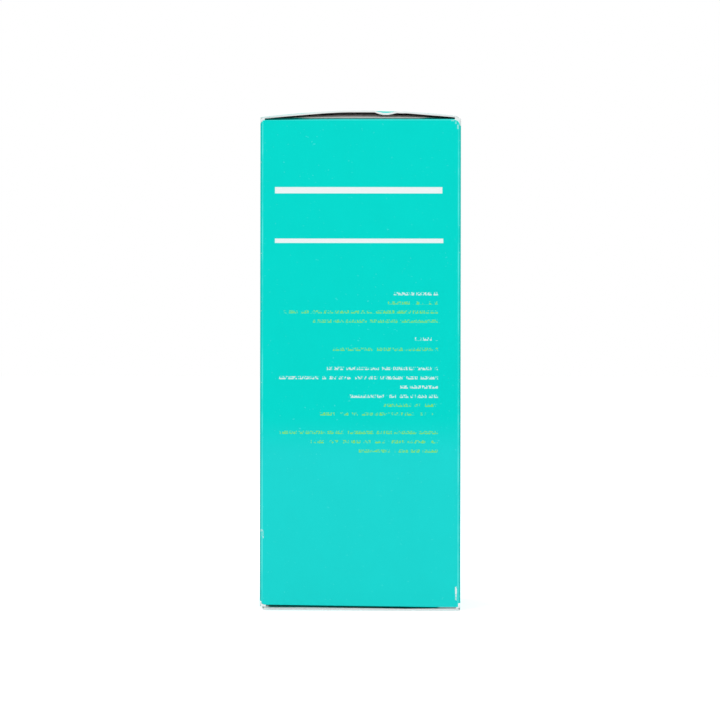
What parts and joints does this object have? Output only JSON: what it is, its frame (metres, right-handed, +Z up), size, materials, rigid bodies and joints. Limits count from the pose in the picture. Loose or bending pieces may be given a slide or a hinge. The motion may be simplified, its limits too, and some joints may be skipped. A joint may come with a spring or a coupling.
{
  "type": "mouthwash carton with bottle",
  "caption": "Tall square folding carton with reverse tuck-in lids and dust flaps, holding a capped amber bottle of mouthwash and a folded leaflet.",
  "frame": {"origin": "centre of the carton's footprint, on the table that it stands on", "axes": "+Z up along the carton's height, front panel towards -Y, +X to the right seen from the front, where the top lid tucks in"},
  "size_m": [0.062, 0.062, 0.1544],
  "materials": {
    "printed_board": "satin",
    "inner_board": "matte",
    "seam_adhesive": "satin",
    "amber_plastic": "gloss",
    "mouthwash_liquid": "gloss",
    "label_paper": "satin",
    "white_closure": "satin",
    "liner_foam": "matte",
    "leaflet_paper": "matte"
  },
  "bodies": {
    "carton": {"front_panel": "printed_board", "back_panel": "printed_board", "left_panel": "printed_board", "right_panel": "printed_board", "glue_flap": "inner_board", "seam_glue": "seam_adhesive", "leaflet": "leaflet_paper"},
    "top_lid": {"top_lid": "printed_board"},
    "top_tuck": {"top_tuck_flap": "printed_board"},
    "top_front_flap": {"top_front_dust_flap": "inner_board"},
    "top_back_flap": {"top_back_dust_flap": "inner_board"},
    "bottom_lid": {"bottom_lid": "printed_board"},
    "bottom_tuck": {"bottom_tuck_flap": "printed_board"},
    "bottom_front_flap": {"bottom_front_dust_flap": "inner_board"},
    "bottom_back_flap": {"bottom_back_dust_flap": "inner_board"},
    "bottle": {"bottle": "amber_plastic", "mouthwash": "mouthwash_liquid", "bottle_label": "label_paper", "tamper_band": "white_closure"},
    "cap_seal": {"cap_liner": "liner_foam"},
    "cap": {"cap": "white_closure"}
  },
  "joints": [
    {"name": "top_lid_hinge", "type": "hinge", "parent": "carton", "child": "top_lid", "pos_m": [-0.031, 0, 0.15238], "axis": [0, -1, 0], "range_deg": [0, 225]},
    {"name": "top_tuck_crease", "type": "hinge", "parent": "top_lid", "child": "top_tuck", "pos_m": [0.0304, 0, 0.15273], "axis": [0, -1, 0], "range_deg": [0, 45]},
    {"name": "top_front_flap_crease", "type": "hinge", "parent": "carton", "child": "top_front_flap", "pos_m": [0, -0.031, 0.15188], "axis": [1, 0, 0], "range_deg": [0, 90]},
    {"name": "top_back_flap_crease", "type": "hinge", "parent": "carton", "child": "top_back_flap", "pos_m": [0, 0.031, 0.15188], "axis": [-1, 0, 0], "range_deg": [0, 90]},
    {"name": "bottom_lid_hinge", "type": "hinge", "parent": "carton", "child": "bottom_lid", "pos_m": [0.031, 0, 0], "axis": [0, -1, 0], "range_deg": [0, 225]},
    {"name": "bottom_tuck_crease", "type": "hinge", "parent": "bottom_lid", "child": "bottom_tuck", "pos_m": [-0.0304, 0, 0], "axis": [0, -1, 0], "range_deg": [0, 45]},
    {"name": "bottom_front_flap_crease", "type": "hinge", "parent": "carton", "child": "bottom_front_flap", "pos_m": [0, -0.031, 0.00095], "axis": [-1, 0, 0], "range_deg": [0, 90]},
    {"name": "bottom_back_flap_crease", "type": "hinge", "parent": "carton", "child": "bottom_back_flap", "pos_m": [0, 0.031, 0.00095], "axis": [1, 0, 0], "range_deg": [0, 90]},
    {"name": "bottle_lift", "type": "slide", "parent": "carton", "child": "bottle", "axis": [0, 0, 1], "range_m": [0, 0.003]},
    {"name": "cap_climb", "type": "slide", "parent": "bottle", "child": "cap_seal", "axis": [0, 0, 1], "range_m": [0, 0.0045]},
    {"name": "cap_turn", "type": "hinge", "parent": "cap_seal", "child": "cap", "pos_m": [0, 0, 0.1354], "axis": [0, 0, 1], "range_deg": [0, 540]}
  ],
  "couplings": [
    {"joint": "top_tuck_crease", "follows": "top_lid_hinge", "ratio": 0.2},
    {"joint": "top_front_flap_crease", "follows": "top_lid_hinge", "ratio": 0.4},
    {"joint": "top_back_flap_crease", "follows": "top_lid_hinge", "ratio": 0.4},
    {"joint": "bottom_tuck_crease", "follows": "bottom_lid_hinge", "ratio": 0.2},
    {"joint": "bottom_front_flap_crease", "follows": "bottom_lid_hinge", "ratio": 0.4},
    {"joint": "bottom_back_flap_crease", "follows": "bottom_lid_hinge", "ratio": 0.4},
    {"joint": "cap_climb", "follows": "cap_turn", "m_per_rad": 0.00047746}
  ]
}
